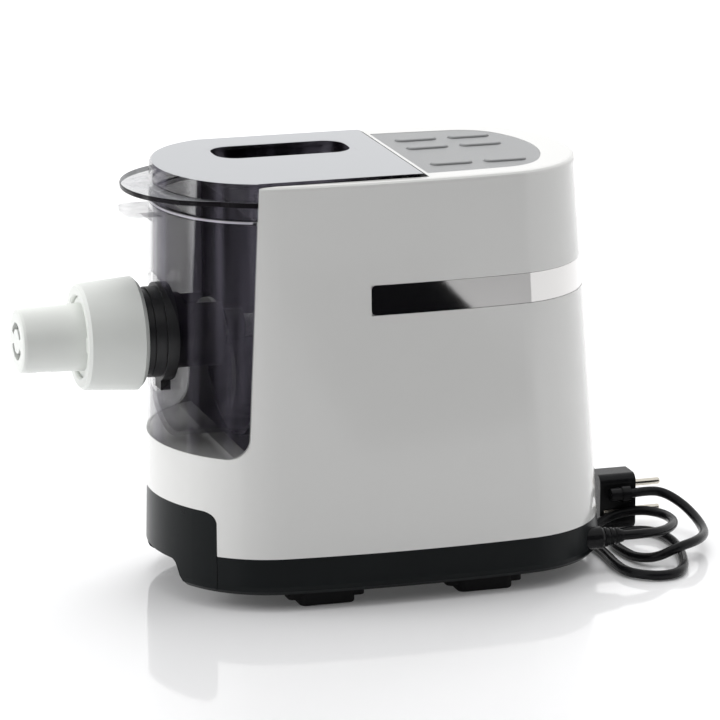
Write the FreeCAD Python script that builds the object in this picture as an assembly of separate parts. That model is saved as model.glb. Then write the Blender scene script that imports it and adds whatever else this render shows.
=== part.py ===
import FreeCAD, Part
import math
import os

os.makedirs("parts", exist_ok=True)
V = FreeCAD.Vector

# Driving dimensions, in millimetres. -Y is the front, where the pasta comes out, and +Z is up.
# The working frame stands under the middle of the body's plan; save() moves each piece to the row's origin.

# Body: two plan outlines, each of side, corner and end arcs, with straight draft between them
SPLIT_Z = 36.0
TOP_Z = 282.0
SPLIT_HALF_WIDTH = 91.4
SPLIT_HALF_LENGTH = 154.1
TOP_HALF_WIDTH = 81.5
TOP_HALF_LENGTH = 142.8
TOP_LEAN_Y = -7.1
SIDE_RADIUS = 900.0
CORNER_RADIUS = 72.8
END_RADIUS = 102.3
SHELL_WALL = 3.0
ARRIS_RADIUS = 3.0
ROUND_STEPS = 3

# Clearances
SEAM_GAP = 0.3
FIT_GAP = 0.1
RUN_GAP = 0.06
SLIDE_GAP = 0.5

# Base and feet
UNDERSIDE_Z = 10.0
BASE_WALL = 2.6
BASE_FLOOR = 3.0
BASE_INSET = 0.6
BASE_ROUND = 7.0
FOOT_LENGTH = 38.0
FOOT_WIDTH = 19.0
FOOT_WING = 7.0
FOOT_WING_HEIGHT = 5.5
FOOT_X = 70.0
FOOT_FRONT_Y = -54.5
FOOT_REAR_Y = 54.5
VENT_WIDTH = 3.2
VENT_LENGTH = 46.0
VENT_PITCH = 8.0
VENT_COUNT = 7
VENT_Y = 78.0
BASE_SCREW_RADIUS = 3.4
BASE_SCREW_LENGTH = 12.0
SCREW_POST_RADIUS = 5.0
SCREW_X = 58.0
SCREW_FRONT_Y = -9.0
SCREW_REAR_Y = 112.0

# Accessory drawer
DRAWER_SEAM_Y = -127.0
DRAWER_TOP_Z = 65.0
DRAWER_CORNER = 8.0
DRAWER_WALL = 2.4
DRAWER_BOTTOM_Z = 13.6
TRAY_HALF_WIDTH = 59.0
TRAY_BACK_Y = -22.0
TRAY_TOP_Z = 58.0
ARCH_HALF_WIDTH = 36.0
ARCH_FOOT_HALF_WIDTH = 47.0
ARCH_TOP_Z = 27.0
ARCH_CORNER = 7.0

# Drive axis, chamber and its bay
AXIS_Z = 173.0
CHAMBER_RADIUS = 69.5
CHAMBER_WALL = 2.5
CHAMBER_RIM_Z = TOP_Z - 22.5
RIM_THICK = 2.5
RIM_HALF_WIDTH = 70.7
CHAMBER_FRONT_Y = -141.0
CHAMBER_BACK_Y = 8.0
BAY_GAP = 1.3
BAY_WALL = 1.8
BAY_EDGE_Y = -99.0
BAY_EDGE_SLOPE = 0.045
BAY_SILL_Z = 101.7
BAY_CORNER = 15.0
COVER_WALL = 2.2
COVER_HOLE_RADIUS = 40.0
PULL_HALF_WIDTH = 17.0
PULL_REACH = 20.7
PULL_THICK = 3.0
PULL_ROUND = 9.0
PULL_RIB = 5.0

# Lid
LID_TOP_Z = TOP_Z + 2.0
LID_SKIN = 3.0
LID_EDGE_DEPTH = 4.8
LID_HALF_WIDTH = 74.0
LID_WALL = 2.4
LID_CORNER = 1.5
LID_ROUND = 2.0
LID_AXIS_Y = 11.4
LID_AXIS_Z = TOP_Z - 2.0
LID_BARREL_RADIUS = 3.9
VISOR_TOP_Z = TOP_Z - 10.0
VISOR_THICK = 3.5
VISOR_REACH = 20.4
VISOR_HALF_WIDTH = 58.0
VISOR_DEPTH = 34.0
SLOT_X = -26.0
SLOT_HALF_WIDTH = 20.5
SLOT_FRONT_Y = -104.0
SLOT_BACK_Y = -8.0
SLOT_FUNNEL = 5.0
SLOT_DEPTH = 14.0
HINGE_PIN_RADIUS = 1.25
HINGE_LUG_RADIUS = 2.4
HINGE_LUG_X = 53.0
HINGE_LUG_WIDTH = 5.0

# Control panel and buttons
PANEL_FRONT_Y = 18.0
PANEL_HALF_WIDTH = 64.5
PANEL_HALF_LENGTH = 119.0
PANEL_SIDE_RADIUS = 880.0
PANEL_CORNER_RADIUS = 34.0
PANEL_END_RADIUS = 90.0
PANEL_RECESS = 1.3
PANEL_THICK = 1.1
BUTTON_LENGTH = 28.5
BUTTON_WIDTH = 9.0
BUTTON_PROUD = 1.4
BUTTON_FLANGE = 1.5
BUTTON_FLANGE_THICK = 2.2
BUTTON_STEM = 4.0
BUTTON_TRAVEL = 0.8
BUTTON_ROW_PITCH = 25.8
BUTTON_COLUMNS = (42.0, 79.0)
BUTTON_ROWS = (1.5, -0.5, -1.5)
BOARD_Z = TOP_Z - 20.0
BOARD_THICK = 1.6
SWITCH_HEIGHT = 5.0

# Trim band round the back
BAND_LOW_Z = 194.6
BAND_HIGH_Z = 214.2
BAND_FRONT_Y = -26.3
BAND_THICK = 1.5
BAND_RECESS = 0.35
BAND_CORNER = 3.0

# Nozzle group
RING_BACK_Y = -161.8
RING_FRONT_Y = -201.9
RING_BACK_RADIUS = 37.6
RING_FRONT_RADIUS = 34.8
RING_BORE = 31.4
RING_LIP = 27.0
RING_LIP_THICK = 5.0
NECK_RADIUS = 28.5
NECK_LUG_RADIUS = 31.0
BARREL_BORE = 20.6
BARREL_RADIUS = 25.0
BARREL_BACK_Y = -108.0
FLANGE_RADIUS = 32.6
FLANGE_THICK = 7.5
STEP_RADIUS = 30.0
STEP_THICK = 7.0
NECK_FRONT_Y = -190.0
LUG_COUNT = 3
LUG_ANGLE = 40.0
LUG_THICK = 3.5
DIE_FLANGE_THICK = 6.3
DIE_FLANGE_RADIUS = 30.8
DIE_TIP_Y = -242.8
DIE_TIP_RADIUS = 21.2
DIE_ROOT_RADIUS = 22.5
DIE_WALL = 3.6
DIE_END = 3.5

# Auger and paddle
AUGER_ROOT = 7.5
AUGER_RADIUS = 20.2
AUGER_PITCH = 24.0
AUGER_TURNS = 3.2
AUGER_FRONT_Y = -186.0
AUGER_HUB_RADIUS = 9.0
FLIGHT_THICK = 3.0
PADDLE_HUB_RADIUS = 12.0
PADDLE_REACH = 57.0
PADDLE_BAR_RADIUS = 5.0
PADDLE_FRONT_Y = -97.0
PADDLE_BACK_Y = -20.0
PADDLE_THICK = 6.0

# Drive train
GEAR_MODULE = 1.5
PINION_TEETH = 14
WHEEL_TEETH = 56
GEAR_WIDTH = 8.0
TOOTH_BACKLASH = 0.25
PRESSURE_ANGLE = 20.0
MOTOR_DROP = 100.0
CASE_FRONT_Y = 12.0
CASE_PLATE = 4.0
CASE_WALL = 3.0
CASE_DEPTH = 34.0
STAGE_TWO_Y = 22.0
STAGE_ONE_Y = 34.0
SHAFT_RADIUS = 5.0
BUSH_RADIUS = 8.0
DRIVE_HEX = 10.0
SOCKET_HEX = 10.5
MOTOR_RADIUS = 40.0
MOTOR_LENGTH = 66.0
FAN_RADIUS = 34.0
FAN_THICK = 8.0
FAN_BLADES = 9

# Mains lead
CORD_DIAMETER = 6.6
CORD_EXIT = (58.0, 158.0, 23.0)
GLAND_RADIUS = 7.5
GLAND_BACK_Y = 139.0
CORD_POINTS = [
    (58, 158, 23), (58, 172, 23), (50, 187, 21), (33, 197, 19), (14, 202.5, 16),
    (-3, 201.5, 14.8), (-17, 192.5, 13), (-22, 177, 9), (-14, 160.5, 5.4), (3, 154.6, 3.6),
    (18, 155, 3.6), (38, 154.6, 3.6), (58, 153, 3.6), (78, 154, 3.6), (92, 168, 3.6),
    (92, 187, 3.6), (78, 200, 3.6), (57, 208, 3.6), (36, 214.5, 3.6), (14, 217, 3.6),
    (-4, 211, 3.6), (-12, 195, 3.6), (-7, 177, 3.6), (11, 167.5, 3.6), (31, 168, 3.6),
    (49, 171.5, 3.6), (63, 183, 6.8), (66, 200, 13.4), (59, 217, 13.4), (43, 230, 8.4),
    (24, 239, 6), (5, 241, 9), (-11, 233, 16), (-21, 219, 22.5), (-25, 204, 26.5),
    (-25, 193, 26.5),
]
PLUG_X = -42.0


def plan_arcs(half_width, half_length, centre_y, z, side_r, corner_r, end_r):
    """Closed outline of eight tangent arcs: two sides, two ends and four corners."""
    side_c = (half_width - side_r, 0.0)
    end_c = (0.0, half_length - end_r)
    to_side = side_r - corner_r
    to_end = end_r - corner_r
    dx = end_c[0] - side_c[0]
    dy = end_c[1] - side_c[1]
    span = math.hypot(dx, dy)
    along = (to_side ** 2 - to_end ** 2 + span ** 2) / (2 * span)
    off = math.sqrt(max(to_side ** 2 - along ** 2, 0.0))
    ux, uy = dx / span, dy / span
    corner_c = max(((side_c[0] + ux * along + uy * off * sign, side_c[1] + uy * along - ux * off * sign)
                    for sign in (-1, 1)), key=sum)
    start = math.atan2(corner_c[1] - side_c[1], corner_c[0] - side_c[0])
    stop = math.atan2(corner_c[1] - end_c[1], corner_c[0] - end_c[0])
    p = (side_c[0] + side_r * math.cos(start), side_c[1] + side_r * math.sin(start))
    q = (end_c[0] + end_r * math.cos(stop), end_c[1] + end_r * math.sin(stop))
    mid = (start + stop) / 2
    m = (corner_c[0] + corner_r * math.cos(mid), corner_c[1] + corner_r * math.sin(mid))

    def at(pair, sx, sy):
        return V(sx * pair[0], centre_y + sy * pair[1], z)

    east, north = (half_width, 0.0), (0.0, half_length)
    edges = [
        Part.Arc(at(p, 1, -1), at(east, 1, 1), at(p, 1, 1)),
        Part.Arc(at(p, 1, 1), at(m, 1, 1), at(q, 1, 1)),
        Part.Arc(at(q, 1, 1), at(north, 1, 1), at(q, -1, 1)),
        Part.Arc(at(q, -1, 1), at(m, -1, 1), at(p, -1, 1)),
        Part.Arc(at(p, -1, 1), at(east, -1, 1), at(p, -1, -1)),
        Part.Arc(at(p, -1, -1), at(m, -1, -1), at(q, -1, -1)),
        Part.Arc(at(q, -1, -1), at(north, 1, -1), at(q, 1, -1)),
        Part.Arc(at(q, 1, -1), at(m, 1, -1), at(p, 1, -1)),
    ]
    return Part.Wire([e.toShape() for e in edges])


def body_plan(z, inset=0.0):
    """The body's outline at a height, drawn in by a wall."""
    share = (z - SPLIT_Z) / (TOP_Z - SPLIT_Z)
    half_width = SPLIT_HALF_WIDTH + (TOP_HALF_WIDTH - SPLIT_HALF_WIDTH) * share
    half_length = SPLIT_HALF_LENGTH + (TOP_HALF_LENGTH - SPLIT_HALF_LENGTH) * share
    size = half_width / SPLIT_HALF_WIDTH
    return plan_arcs(half_width - inset, half_length - inset, TOP_LEAN_Y * share, z,
                     SIDE_RADIUS * size - inset, CORNER_RADIUS * size - inset, END_RADIUS * size - inset)


def front_at(z):
    """How far forward the body's front stands at a height."""
    share = (z - SPLIT_Z) / (TOP_Z - SPLIT_Z)
    return TOP_LEAN_Y * share - SPLIT_HALF_LENGTH - (TOP_HALF_LENGTH - SPLIT_HALF_LENGTH) * share


def body_block(z_low, z_high, inset=0.0, round_low=0.0, round_high=0.0):
    """A solid slice of the body between two heights, its lower and upper edges rounded in steps."""
    low = [(z_low + round_low * (1 - math.cos(math.pi / 2 * k / ROUND_STEPS)),
            inset + round_low * (1 - math.sin(math.pi / 2 * k / ROUND_STEPS))) for k in range(ROUND_STEPS)]
    high = [(z_high - round_high * (1 - math.cos(math.pi / 2 * k / ROUND_STEPS)),
             inset + round_high * (1 - math.sin(math.pi / 2 * k / ROUND_STEPS))) for k in range(ROUND_STEPS)]
    stations = low if round_low else []
    stations = stations + [(z_low + round_low, inset), (z_high - round_high, inset)]
    stations = stations + (list(reversed(high)) if round_high else [])
    return Part.makeLoft([body_plan(z, i) for z, i in stations], True, True)


def box(x0, x1, y0, y1, z0, z1):
    return Part.makeBox(x1 - x0, y1 - y0, z1 - z0, V(x0, y0, z0))


def mid_box(half_width, y0, y1, z0, z1):
    return box(-half_width, half_width, y0, y1, z0, z1)


def rod(radius, y0, y1, x=0.0, z=AXIS_Z):
    """A cylinder along Y."""
    return Part.makeCylinder(radius, y1 - y0, V(x, y0, z), V(0, 1, 0))


def post(radius, x, y, z0, z1):
    return Part.makeCylinder(radius, z1 - z0, V(x, y, z0), V(0, 0, 1))


def tube(outer, inner, y0, y1, x=0.0, z=AXIS_Z):
    return rod(outer, y0, y1, x, z).cut(rod(inner, y0 - 1, y1 + 1, x, z))


def prism(points, direction):
    """A closed polygon pushed along a vector."""
    return Part.Face(Part.makePolygon(list(points) + [points[0]])).extrude(direction)


def spin(profile, y_axis_z=AXIS_Z):
    """A profile of (y, radius) points turned about the drive axis."""
    points = [V(0, y, y_axis_z + r) for y, r in profile]
    face = Part.Face(Part.makePolygon(points + [points[0]]))
    return face.revolve(V(0, 0, y_axis_z), V(0, 1, 0), 360)


def fillet_where(shape, radius, test):
    edges = [e for e in shape.Edges if test(e)]
    return shape.makeFillet(radius, edges) if edges else shape


def at_height(z, tolerance=0.02):
    return lambda e: abs(e.BoundBox.ZMin - z) < tolerance and abs(e.BoundBox.ZMax - z) < tolerance


FRONT_REACH = DIE_TIP_Y
BACK_REACH = SPLIT_HALF_LENGTH
FRAME_Y = -(FRONT_REACH + BACK_REACH) / 2


def save(name, shape):
    """Write one piece in the row's frame, with its origin under the middle of the whole."""
    moved = shape.copy()
    moved.translate(V(0, FRAME_Y, 0))
    moved = moved.removeSplitter()
    if not moved.isValid():
        print("invalid", name)
    moved.exportStep("parts/" + name + ".step")
    box_now = moved.BoundBox
    print("%-22s solids %2d faces %4d volume %9.0f  x %6.1f %6.1f  y %6.1f %6.1f  z %6.1f %6.1f" % (
        name, len(moved.Solids), len(moved.Faces), moved.Volume, box_now.XMin, box_now.XMax,
        box_now.YMin, box_now.YMax, box_now.ZMin, box_now.ZMax))


def bay_window(grow=0.0):
    """The side view of the chamber bay, pushed across the body: open at the front and the top."""
    low = BAY_SILL_Z - grow
    edge_low = BAY_EDGE_Y + grow - BAY_EDGE_SLOPE * (TOP_Z - low)
    edge_high = BAY_EDGE_Y + grow + BAY_EDGE_SLOPE * 40
    points = [V(-120, -250, low), V(-120, edge_low, low), V(-120, edge_high, TOP_Z + 40), V(-120, -250, TOP_Z + 40)]
    block = prism(points, V(240, 0, 0))
    corner = [e for e in block.Edges if abs(e.CenterOfMass.z - low) < 0.1 and abs(e.CenterOfMass.y - edge_low) < 0.1]
    return block.makeFillet(BAY_CORNER, corner)


def drawer_window(grow=0.0):
    """The side view of the drawer front: everything ahead of its seam and under its top edge."""
    block = box(-120, 120, -250, DRAWER_SEAM_Y + grow, -5, DRAWER_TOP_Z + grow)
    corner = [e for e in block.Edges if abs(e.CenterOfMass.z - DRAWER_TOP_Z - grow) < 0.1
              and abs(e.CenterOfMass.y - DRAWER_SEAM_Y - grow) < 0.1]
    return block.makeFillet(DRAWER_CORNER, corner)


def panel_plan(z, grow=0.0):
    return plan_arcs(PANEL_HALF_WIDTH + grow, PANEL_HALF_LENGTH + grow, TOP_LEAN_Y, z,
                     PANEL_SIDE_RADIUS + grow, PANEL_CORNER_RADIUS + grow, PANEL_END_RADIUS + grow)


def panel_block(z0, z1, grow=0.0):
    block = Part.Face(panel_plan(z0, grow)).extrude(V(0, 0, z1 - z0))
    return block.common(mid_box(120, PANEL_FRONT_Y - grow, 200, z0 - 1, z1 + 1))


def pill(x, y, z0, z1, grow=0.0):
    """An upright oblong with round ends, its long side along Y."""
    r = BUTTON_WIDTH / 2 + grow
    reach = (BUTTON_LENGTH - BUTTON_WIDTH) / 2
    block = box(x - r, x + r, y - reach, y + reach, z0, z1)
    return block.fuse(post(r, x, y - reach, z0, z1)).fuse(post(r, x, y + reach, z0, z1)).removeSplitter()


def button_places():
    return [(row * BUTTON_ROW_PITCH, y) for row in BUTTON_ROWS for y in BUTTON_COLUMNS]


def lid_opening(half_width, back_y, z0, z1, corner):
    block = mid_box(half_width, -250, back_y, z0, z1)
    if corner <= 0:
        return block
    return fillet_where(block, corner, lambda e: abs(e.CenterOfMass.y - back_y) < 0.1
                        and e.BoundBox.ZLength > 0.5 and e.BoundBox.XLength < 0.1)


LID_BACK_Y = LID_AXIS_Y + LID_BARREL_RADIUS


def make_housing():
    shell = body_block(SPLIT_Z, TOP_Z, 0.0, 0.0, ARRIS_RADIUS)
    hollow = body_block(SPLIT_Z - 1, TOP_Z - SHELL_WALL, SHELL_WALL)
    sill = mid_box(120, -250, BAY_EDGE_Y - 6, BAY_SILL_Z - SHELL_WALL, BAY_SILL_Z + 1)
    shell = shell.cut(hollow.cut(sill))
    shell = shell.cut(bay_window())
    shell = shell.cut(lid_opening(LID_HALF_WIDTH + SEAM_GAP + 0.1, LID_BACK_Y + SEAM_GAP,
                                  TOP_Z - SHELL_WALL - 1, TOP_Z + 5, 0.0))
    shell = shell.cut(panel_block(TOP_Z - PANEL_RECESS, TOP_Z + 5, FIT_GAP))
    for x, y in button_places():
        shell = shell.cut(pill(x, y, TOP_Z - 10, TOP_Z + 5, SEAM_GAP))
    shell = shell.cut(drawer_window(SEAM_GAP))
    groove = body_block(BAND_LOW_Z - SEAM_GAP, BAND_HIGH_Z + SEAM_GAP, -3)
    groove = groove.cut(body_block(BAND_LOW_Z - 2, BAND_HIGH_Z + 2, BAND_RECESS + BAND_THICK + FIT_GAP))
    groove = groove.common(mid_box(120, BAND_FRONT_Y - SEAM_GAP, 200, 0, 300))
    shell = shell.cut(groove)
    boss = TOP_Z - SHELL_WALL
    for x, y in board_posts():
        shell = shell.fuse(post(3.5, x, y, BOARD_Z + BOARD_THICK, boss + 0.5))
    for x, y in screw_places():
        pillar = post(SCREW_POST_RADIUS, x, y, SPLIT_Z - 2, BAY_SILL_Z - 20)
        rib = box(min(x, x * 3), max(x, x * 3), y - 1.2, y + 1.2, SPLIT_Z + 2, BAY_SILL_Z - 20)
        pillar = pillar.fuse(rib.common(body_block(SPLIT_Z, TOP_Z, SHELL_WALL / 2)))
        shell = shell.fuse(pillar)
    for x, y in screw_places():
        shell = shell.cut(post(1.6, x, y, SPLIT_Z - 3, SPLIT_Z + 12))
    return shell


def board_posts():
    return [(sx * 50, y) for sx in (-1, 1) for y in (27, 88)]


def screw_places():
    return [(sx * SCREW_X, y) for sx in (-1, 1) for y in (SCREW_FRONT_Y, SCREW_REAR_Y)]


def foot_places():
    return [(sx * FOOT_X, y) for sx in (-1, 1) for y in (FOOT_FRONT_Y, FOOT_REAR_Y)]


def make_base():
    tray = body_block(UNDERSIDE_Z, SPLIT_Z - FIT_GAP, BASE_INSET, BASE_ROUND)
    hollow = body_block(UNDERSIDE_Z + BASE_FLOOR, SPLIT_Z + 5, BASE_INSET + BASE_WALL, BASE_ROUND - BASE_WALL)
    tray = tray.cut(hollow)
    tray = tray.cut(drawer_window(SEAM_GAP))
    floor_top = UNDERSIDE_Z + BASE_FLOOR
    for x, y in screw_places():
        tray = tray.fuse(post(SCREW_POST_RADIUS, x, y, floor_top - 0.5, SPLIT_Z - 2 - FIT_GAP))
        tray = tray.cut(post(BASE_SCREW_RADIUS + 0.4, x, y, UNDERSIDE_Z - 1, UNDERSIDE_Z + 9))
        tray = tray.cut(post(1.8, x, y, UNDERSIDE_Z, SPLIT_Z))
    for sx in (-1, 1):
        rail_x = sx * (TRAY_HALF_WIDTH + SLIDE_GAP)
        rail = box(min(rail_x, rail_x + sx * 3), max(rail_x, rail_x + sx * 3), -86, TRAY_BACK_Y, floor_top - 0.5, 30)
        tray = tray.fuse(rail)
    for i in range(VENT_COUNT):
        y = VENT_Y + (i - (VENT_COUNT - 1) / 2) * VENT_PITCH
        tray = tray.cut(mid_box(VENT_LENGTH / 2, y - VENT_WIDTH / 2, y + VENT_WIDTH / 2, 0, 30))
    motor_z = AXIS_Z - MOTOR_DROP
    cradle_y = CASE_FRONT_Y + CASE_DEPTH + CASE_PLATE
    for y in (cradle_y + 18, cradle_y + 52):
        saddle = mid_box(34, y - 3, y + 3, floor_top - 0.5, motor_z - 14)
        tray = tray.fuse(saddle.cut(rod(MOTOR_RADIUS + FIT_GAP, y - 5, y + 5, 0, motor_z)))
    return tray.cut(make_gland())


def make_feet():
    feet = []
    for x, y in foot_places():
        block = box(x - FOOT_WIDTH / 2, x + FOOT_WIDTH / 2, y - FOOT_LENGTH / 2, y + FOOT_LENGTH / 2, 0, UNDERSIDE_Z)
        block = fillet_where(block, 5.0, lambda e: e.BoundBox.ZLength > 5)
        wing = box(x - FOOT_WIDTH / 2 + 2, x + FOOT_WIDTH / 2 - 2, y - FOOT_LENGTH / 2 - FOOT_WING,
                   y + FOOT_LENGTH / 2 + FOOT_WING, UNDERSIDE_Z - FOOT_WING_HEIGHT, UNDERSIDE_Z)
        wing = fillet_where(wing, 4.0, lambda e: e.BoundBox.ZLength > 5)
        block = block.fuse(wing).removeSplitter()
        feet.append(fillet_where(block, 1.5, at_height(0)))
    return Part.makeCompound(feet)


def arch_block(grow=0.0):
    """The finger arch under the drawer front, seen from the front and pushed back."""
    top = ARCH_TOP_Z + grow
    points = [V(-ARCH_FOOT_HALF_WIDTH - grow, -200, 5), V(-ARCH_HALF_WIDTH - grow, -200, top),
              V(ARCH_HALF_WIDTH + grow, -200, top), V(ARCH_FOOT_HALF_WIDTH + grow, -200, 5)]
    block = prism(points, V(0, 200 + DRAWER_SEAM_Y + grow, 0))
    return fillet_where(block, ARCH_CORNER, lambda e: e.BoundBox.YLength > 5 and e.CenterOfMass.z > top - 1)


def make_drawer():
    outside = body_block(UNDERSIDE_Z, DRAWER_TOP_Z, BASE_INSET, BASE_ROUND)
    front = outside.common(drawer_window())
    tray = mid_box(TRAY_HALF_WIDTH, -250, TRAY_BACK_Y, DRAWER_BOTTOM_Z, TRAY_TOP_Z)
    front = front.fuse(tray.common(outside))
    front = front.cut(arch_block())
    hollow = body_block(DRAWER_BOTTOM_Z + DRAWER_WALL, DRAWER_TOP_Z + 5, BASE_INSET + DRAWER_WALL)
    hollow = hollow.common(mid_box(TRAY_HALF_WIDTH - DRAWER_WALL, -250, TRAY_BACK_Y - DRAWER_WALL, 0, 200))
    hollow = hollow.cut(arch_block(DRAWER_WALL))
    return front.cut(hollow)


def trough(radius, y0, y1, z_top):
    """A U section: straight walls over a half round about the drive axis."""
    return rod(radius, y0, y1).fuse(mid_box(radius, y0, y1, AXIS_Z, z_top)).removeSplitter()


COVER_BACK_Y = BAY_EDGE_Y - SEAM_GAP


def make_chamber():
    rim_low = CHAMBER_RIM_Z - RIM_THICK
    inset = SEAM_GAP + COVER_WALL + FIT_GAP
    outer = trough(CHAMBER_RADIUS, -200, CHAMBER_BACK_Y, CHAMBER_RIM_Z)
    outer = outer.common(body_block(BAY_SILL_Z - 20, CHAMBER_RIM_Z, inset))
    outer = outer.common(mid_box(120, CHAMBER_FRONT_Y, 200, 0, 300))
    rim = body_block(rim_low, CHAMBER_RIM_Z, SEAM_GAP).common(mid_box(120, -250, COVER_BACK_Y - 4, 0, 300))
    rim = rim.fuse(mid_box(RIM_HALF_WIDTH, COVER_BACK_Y - 6, CHAMBER_BACK_Y, rim_low, CHAMBER_RIM_Z))
    outer = outer.fuse(rim)
    inner = trough(CHAMBER_RADIUS - CHAMBER_WALL, -200, CHAMBER_BACK_Y - CHAMBER_WALL, CHAMBER_RIM_Z + 5)
    inner = inner.common(body_block(BAY_SILL_Z - 20, CHAMBER_RIM_Z + 5, inset + CHAMBER_WALL))
    inner = inner.common(mid_box(120, CHAMBER_FRONT_Y + CHAMBER_WALL, 200, 0, 300))
    chamber = outer.cut(inner)
    chamber = chamber.fuse(rod(AUGER_HUB_RADIUS + 4, CHAMBER_BACK_Y - CHAMBER_WALL - 4, CHAMBER_BACK_Y))
    chamber = chamber.cut(rod(AUGER_HUB_RADIUS + RUN_GAP, -10, CHAMBER_BACK_Y + 1))
    return chamber.cut(rod(BARREL_RADIUS + FIT_GAP, -200, CHAMBER_FRONT_Y + 10))


def make_cover():
    """Smoked front of the chamber, flush with the body, with the pull lip at its top."""
    low = BAY_SILL_Z + SEAM_GAP
    high = CHAMBER_RIM_Z - RIM_THICK - FIT_GAP
    skin = body_block(low, high, SEAM_GAP).cut(body_block(low - 1, high + 1, SEAM_GAP + COVER_WALL))
    keep = bay_window(-SEAM_GAP)
    skin = skin.common(keep)
    skin = skin.cut(rod(COVER_HOLE_RADIUS, -200, -100))
    root_y = front_at(high)
    lip = mid_box(PULL_HALF_WIDTH, root_y - PULL_REACH, root_y + PULL_ROUND, high - PULL_THICK, high)
    lip = fillet_where(lip, PULL_ROUND, lambda e: e.BoundBox.ZLength > 1 and e.CenterOfMass.y < root_y - 1)
    half = PULL_RIB / 2
    gusset = prism([V(-half, root_y + 5, high - 1), V(-half, root_y - PULL_REACH + 8, high - 1),
                    V(-half, root_y + 5, high - 14)], V(PULL_RIB, 0, 0))
    lip = lip.fuse(gusset).cut(body_block(low, TOP_Z, SEAM_GAP + COVER_WALL / 2))
    return skin.fuse(lip)


def make_bay_liner():
    gap_radius = CHAMBER_RADIUS + BAY_GAP
    back = CASE_FRONT_Y
    front = BAY_EDGE_Y + 1
    top = LID_AXIS_Z - LID_BARREL_RADIUS - SLIDE_GAP
    liner = trough(gap_radius + BAY_WALL, front, back, top)
    liner = liner.common(body_block(50, top, SHELL_WALL + FIT_GAP))
    liner = liner.cut(trough(gap_radius, front - 5, back - CHAMBER_WALL, top + 5))
    liner = liner.cut(rod(SHAFT_RADIUS + 2.5, -10, back + 2))
    for sx in (-1, 1):
        stem = box(min(sx * (HINGE_LUG_X - HINGE_LUG_WIDTH / 2), sx * (HINGE_LUG_X + HINGE_LUG_WIDTH / 2)),
                   max(sx * (HINGE_LUG_X - HINGE_LUG_WIDTH / 2), sx * (HINGE_LUG_X + HINGE_LUG_WIDTH / 2)),
                   back - CHAMBER_WALL - 0.5, LID_AXIS_Y + HINGE_LUG_RADIUS, LID_AXIS_Z - 14, LID_AXIS_Z)
        stem = stem.cut(box(-100, 100, 0, LID_AXIS_Y - HINGE_LUG_RADIUS, LID_AXIS_Z - 5, LID_AXIS_Z + 5))
        x0 = sx * HINGE_LUG_X - HINGE_LUG_WIDTH / 2
        lug = Part.makeCylinder(HINGE_LUG_RADIUS, HINGE_LUG_WIDTH, V(x0, LID_AXIS_Y, LID_AXIS_Z), V(1, 0, 0))
        liner = liner.fuse(stem.fuse(lug))
        liner = liner.cut(Part.makeCylinder(HINGE_PIN_RADIUS, 30, V(sx * HINGE_LUG_X - 15, LID_AXIS_Y, LID_AXIS_Z),
                                            V(1, 0, 0)))
    return liner


def make_hinge_pins():
    pins = []
    reach = HINGE_LUG_WIDTH / 2 + 6
    for sx in (-1, 1):
        pins.append(Part.makeCylinder(HINGE_PIN_RADIUS, 2 * reach, V(sx * HINGE_LUG_X - reach, LID_AXIS_Y, LID_AXIS_Z),
                                      V(1, 0, 0)))
    return Part.makeCompound(pins)


def lid_keep(inset=0.0):
    """What the lid may fill: the bay ahead of its edge, and a rounded plate behind it."""
    low = LID_TOP_Z - LID_EDGE_DEPTH
    rear = lid_opening(LID_HALF_WIDTH - inset, LID_BACK_Y - inset, low, LID_TOP_Z + 5, LID_CORNER - inset)
    return bay_window(-SEAM_GAP - inset).fuse(rear)


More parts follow.
